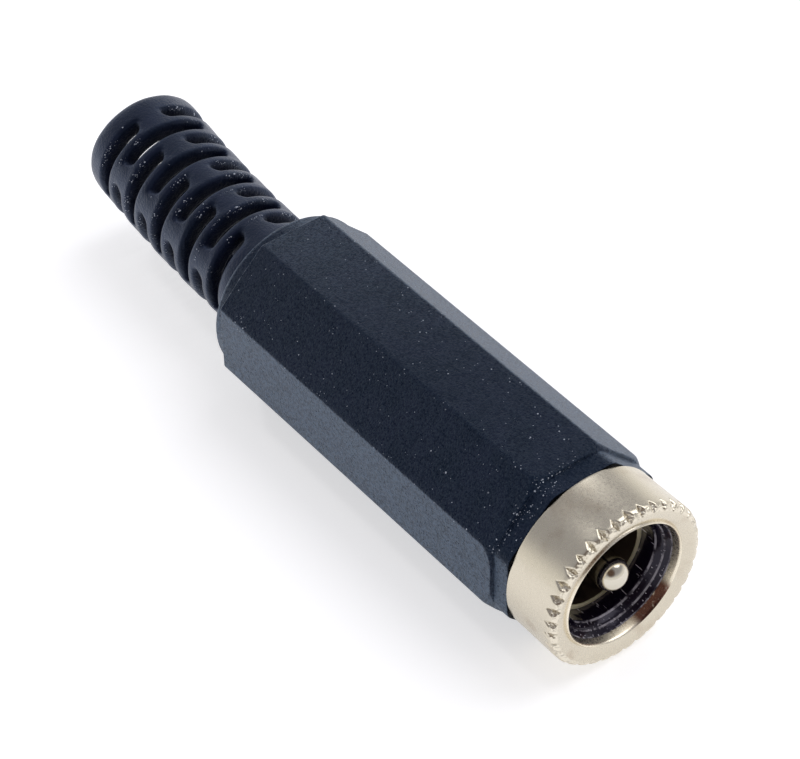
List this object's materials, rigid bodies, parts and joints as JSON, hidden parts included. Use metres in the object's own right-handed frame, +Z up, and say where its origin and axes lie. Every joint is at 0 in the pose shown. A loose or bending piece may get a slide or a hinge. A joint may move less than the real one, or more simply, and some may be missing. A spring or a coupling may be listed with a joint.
{
  "type": "in-line dc barrel jack connector",
  "caption": "In-line DC power socket with a notched metal nose, an octagonal moulded handle and a slotted strain relief for the cable.",
  "frame": {"origin": "centre of the socket's mouth, on the axis in the plane of the nose's front face", "axes": "+X along the axis, out of the socket's mouth; +Z up, square to the flat of the handle that the part lies on"},
  "size_m": [0.0469, 0.0106, 0.0106],
  "materials": {
    "handle_plastic": "fine-grained black moulding",
    "nickel": "satin nickel plate on brass",
    "body_plastic": "glossy black moulding",
    "pin_nickel": "bright nickel plate",
    "contact_bronze": "rolled spring bronze",
    "lug_tin": "tinned stamping"
  },
  "bodies": {
    "root": {"handle": "handle_plastic", "nose_shell": "nickel", "socket_body": "body_plastic", "centre_pin": "pin_nickel", "sleeve_contact": "contact_bronze", "pin_lug": "lug_tin", "sleeve_lug": "lug_tin"}
  },
  "joints": []
}
